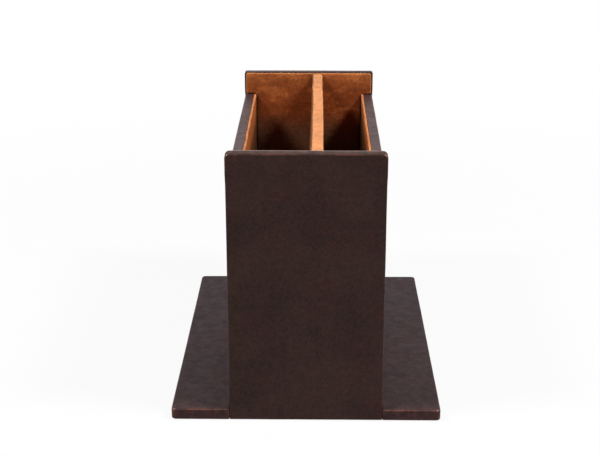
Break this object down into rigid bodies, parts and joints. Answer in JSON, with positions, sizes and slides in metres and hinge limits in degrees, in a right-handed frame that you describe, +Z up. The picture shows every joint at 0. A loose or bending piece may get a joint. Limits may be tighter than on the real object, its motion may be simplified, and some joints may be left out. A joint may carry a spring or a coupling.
{
  "type": "pen stand with drawer",
  "caption": "Tall leather-covered desk organizer: open suede-lined compartments for pens and papers, a drawer below them, on a wide flat base plate.",
  "frame": {"origin": "centre of the underside of the base plate, on the surface that the stand rests on", "axes": "+X across the stand to the side of the narrow compartment, +Y along its length towards the drawer front and the way the drawer opens, +Z up"},
  "size_m": [0.152, 0.2236, 0.1564],
  "materials": {
    "leather": "dark brown smooth leather, semi-matt",
    "suede": "tan suede nap",
    "board": "raw fibreboard",
    "card": "smooth dark card",
    "felt": "dark brown felt",
    "hardwood": "planed hardwood",
    "drawer_skin": "thin dark brown leather, matt"
  },
  "bodies": {
    "stand": {"near_end_lining": "suede", "far_end_lining": "suede", "left_wall_lining": "suede", "right_wall_lining": "suede", "divider_cover": "suede", "wide_floor_lining": "suede", "narrow_floor_lining": "suede", "base_cover": "leather", "near_end_cover": "leather", "far_end_cover": "leather", "left_wall_cover": "leather", "right_wall_cover": "leather", "base_board": "board", "near_end_board": "board", "far_end_board": "board", "left_wall_board": "board", "right_wall_board": "board", "divider_board": "board", "compartment_floor": "board", "base_felt": "felt", "chamber_felt": "felt", "left_chamber_liner": "card", "right_chamber_liner": "card", "drawer_stop": "hardwood"},
    "drawer": {"drawer_front_board": "board", "drawer_front_cover": "leather", "drawer_front_backing": "leather", "drawer_bottom": "board", "drawer_left_side": "board", "drawer_right_side": "board", "drawer_back": "board", "drawer_wrap": "drawer_skin", "drawer_left_lining": "suede", "drawer_right_lining": "suede", "drawer_back_lining": "suede", "drawer_front_lining": "suede", "drawer_floor_lining": "suede", "drawer_pull": "leather"}
  },
  "joints": [
    {"name": "drawer_slide", "type": "slide", "parent": "stand", "child": "drawer", "axis": [0, 1, 0], "range_m": [0, 0.14]}
  ]
}
